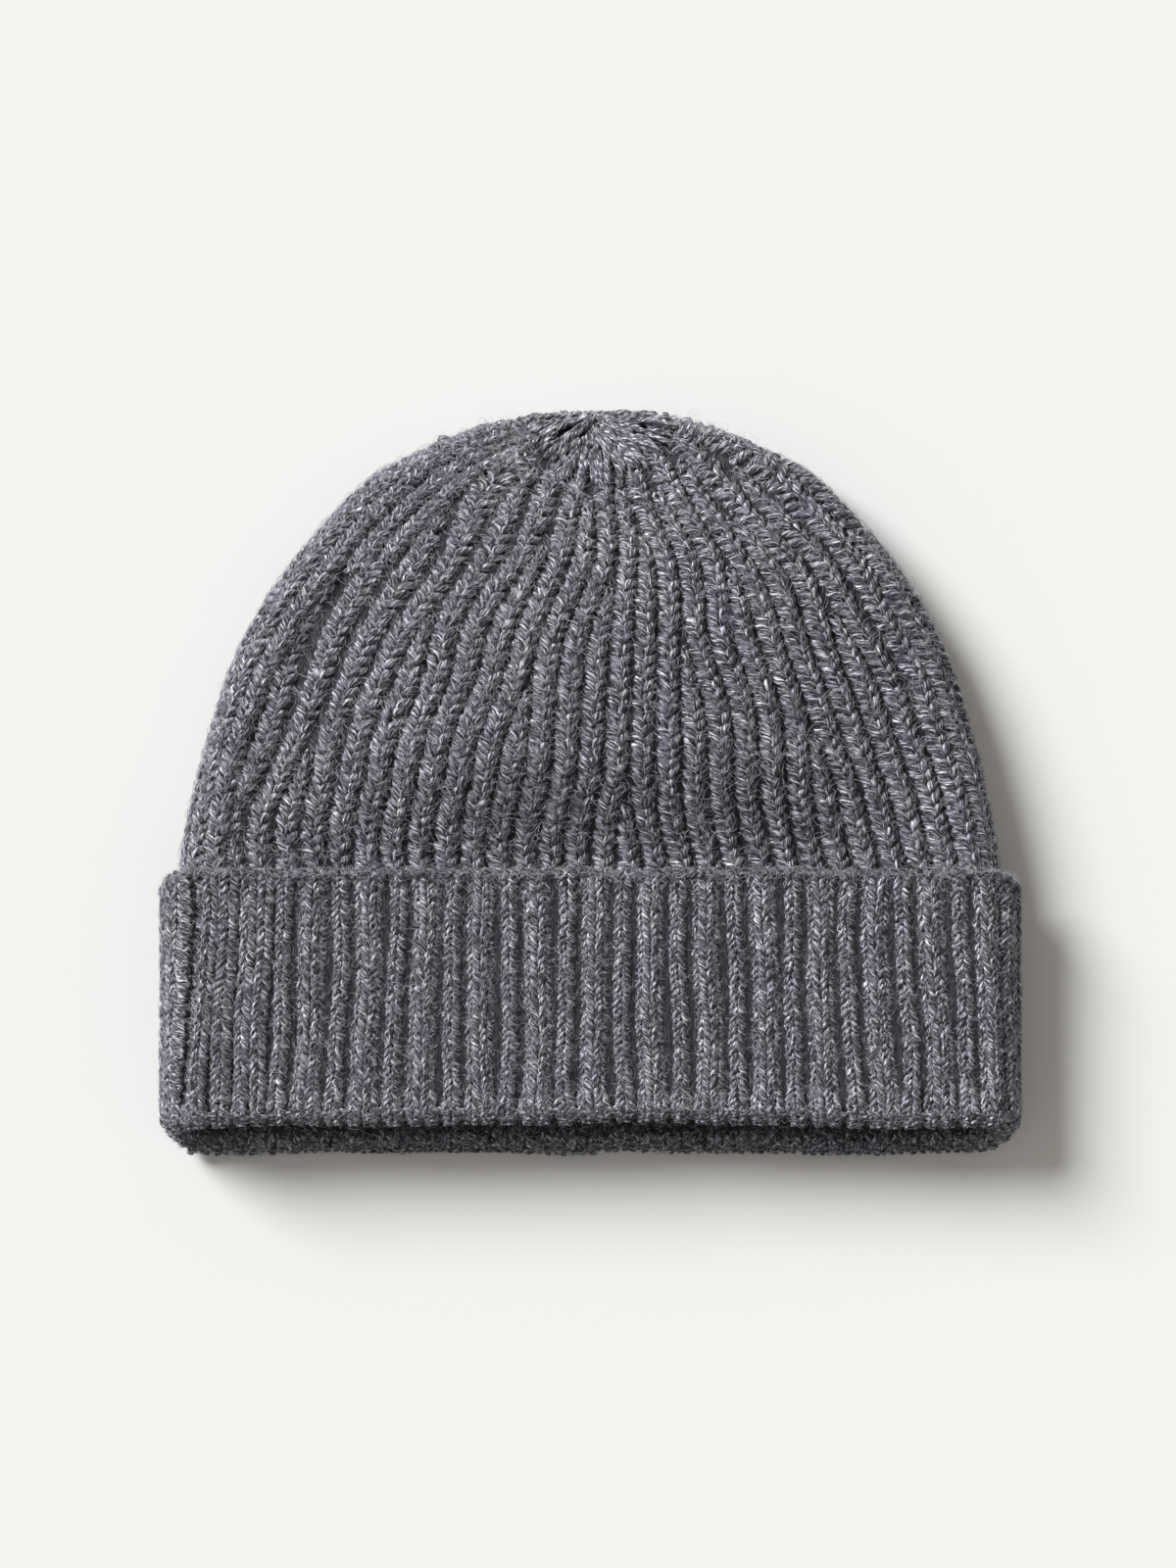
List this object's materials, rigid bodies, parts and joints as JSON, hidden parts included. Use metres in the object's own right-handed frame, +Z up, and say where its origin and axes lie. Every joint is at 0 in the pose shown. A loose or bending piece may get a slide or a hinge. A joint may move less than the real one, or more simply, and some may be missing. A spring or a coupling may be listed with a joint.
{
  "type": "knit beanie",
  "caption": "Flattened cuffed knit beanie: chunky ribbed crown gathered at the top, over a fine-rib band with a deep turned-up cuff that can be turned down.",
  "frame": {"origin": "under the middle of the beanie as it lies flat, on the surface that it lies on", "axes": "+X across the width, to the right seen from above with the mouth nearest; +Y from the mouth to the top of the crown; +Z up from the surface"},
  "size_m": [0.23, 0.2, 0.034],
  "materials": {
    "crown_yarn": "matte marled charcoal wool, chunky rib",
    "cuff_yarn": "matte marled charcoal wool, fine rib",
    "seam_yarn": "matte charcoal sewing yarn"
  },
  "bodies": {
    "hat": {"crown_knit": "crown_yarn", "inner_band": "cuff_yarn", "crown_side_seam": "seam_yarn", "inner_band_seam": "seam_yarn", "crown_top_seam": "seam_yarn", "crown_draw_yarn": "seam_yarn"},
    "cuff": {"cuff_band": "cuff_yarn", "cuff_fold": "cuff_yarn", "cuff_cast_on_edge": "cuff_yarn", "cuff_side_seam": "seam_yarn"}
  },
  "joints": [
    {"name": "cuff_turn_down", "type": "slide", "parent": "hat", "child": "cuff", "axis": [0, -1, 0], "range_m": [0, 0.062]}
  ]
}
